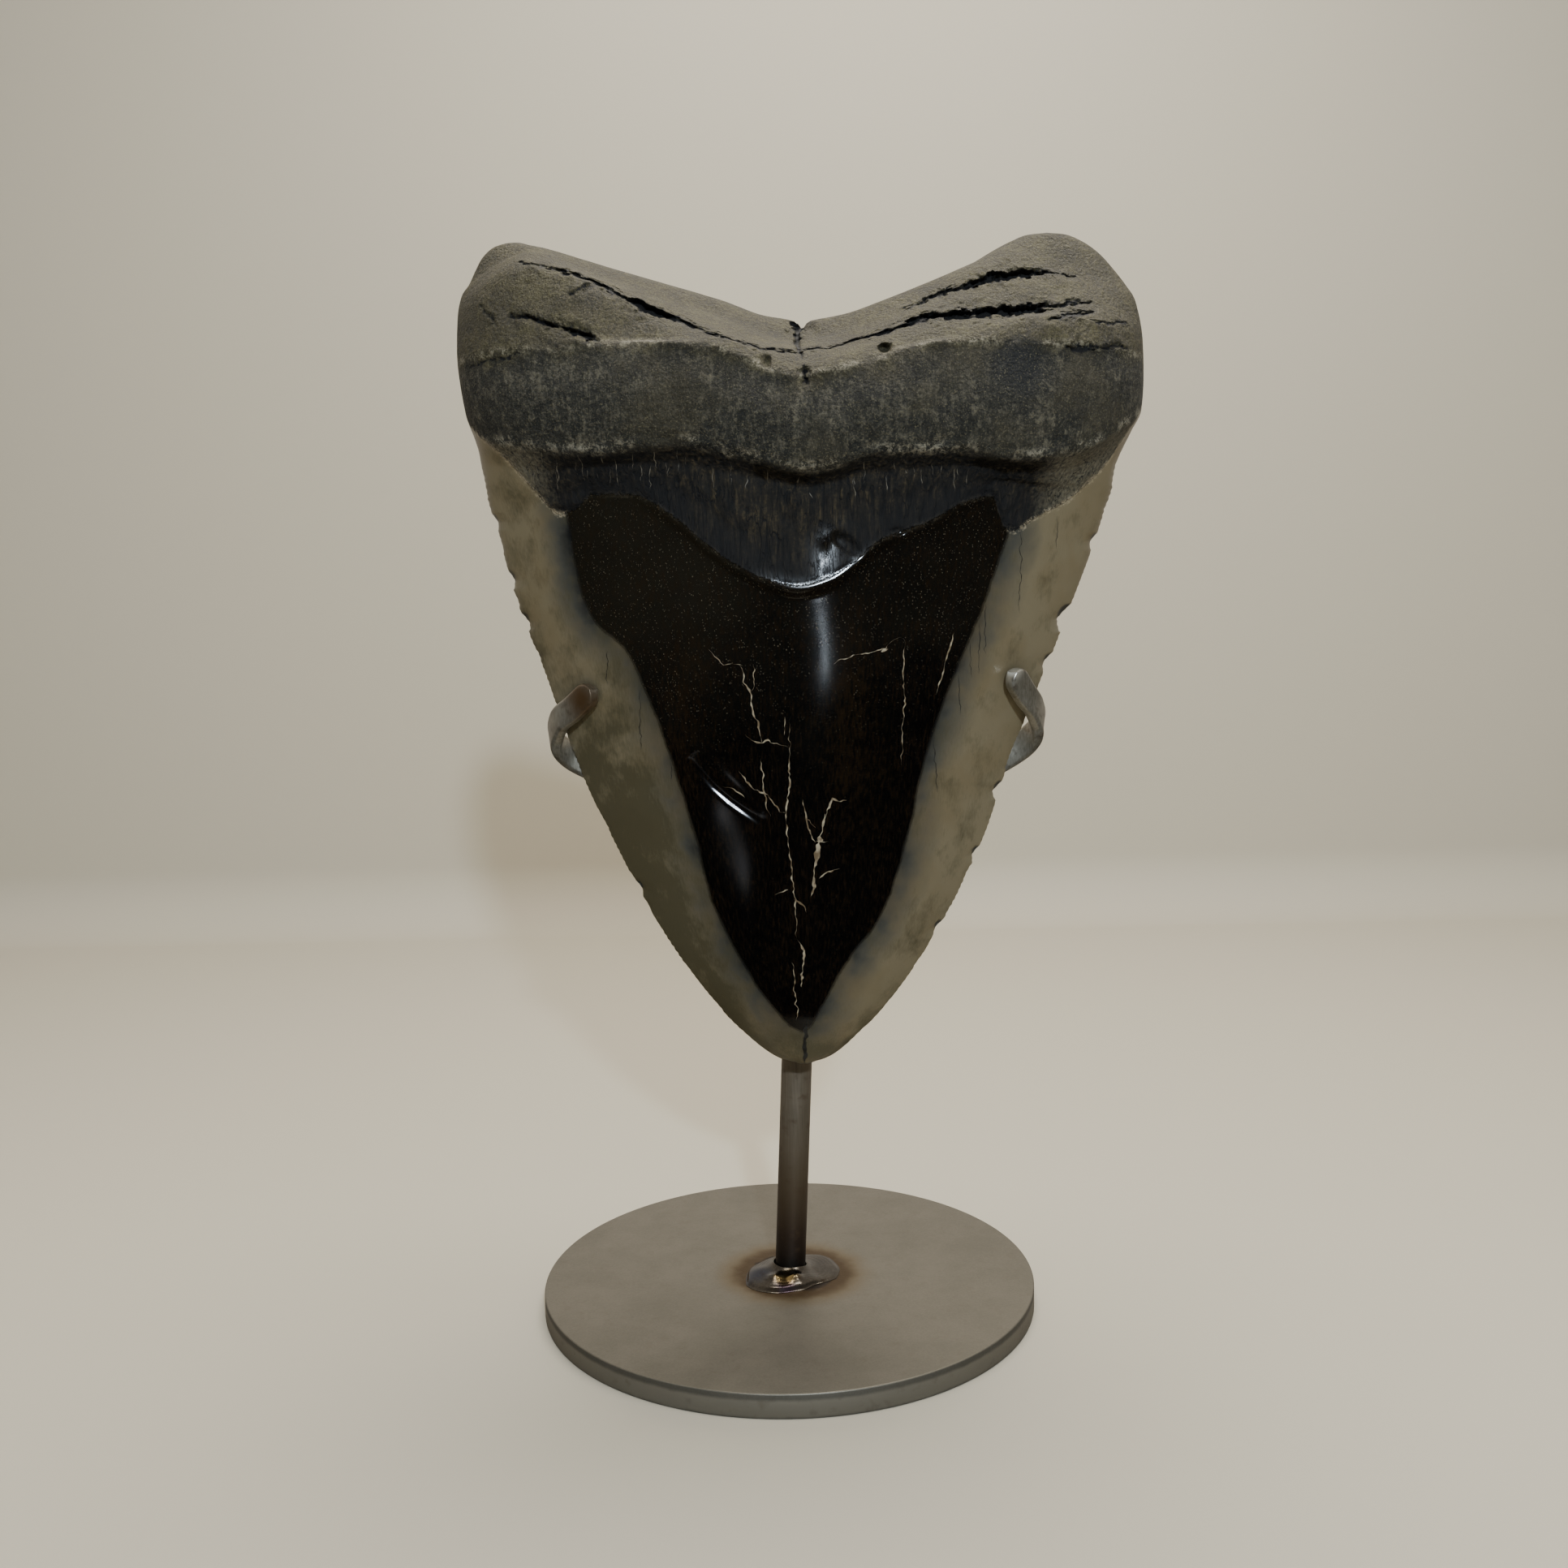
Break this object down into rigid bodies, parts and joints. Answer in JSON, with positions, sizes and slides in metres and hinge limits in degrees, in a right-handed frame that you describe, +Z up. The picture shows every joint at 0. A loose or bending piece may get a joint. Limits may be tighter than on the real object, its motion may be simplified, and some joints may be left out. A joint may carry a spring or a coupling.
{
  "type": "megalodon tooth on a stand",
  "caption": "Large fossil shark tooth held tip down by two flat steel claws on a post welded to a round base plate, for display on a shelf or table.",
  "frame": {"origin": "centre of the round base plate's underside", "axes": "+Z up; -Y is the way the tooth's bulging inner face and the claw tips look; +X is to the right seen from that side"},
  "size_m": [0.1295, 0.1016, 0.2128],
  "materials": {
    "fossil_tooth": "mineralised tooth, polished dark dentine between matt root and satin enamel",
    "brushed_steel": "bare hand-brushed mild steel with light rust and heat tint",
    "welded_steel": "bright rippled weld metal with straw-coloured oxide"
  },
  "bodies": {
    "root": {"tooth": "fossil_tooth", "base_plate": "brushed_steel", "post": "brushed_steel", "claw_left": "brushed_steel", "claw_right": "brushed_steel", "base_weld": "welded_steel", "claw_weld": "welded_steel"}
  },
  "joints": []
}
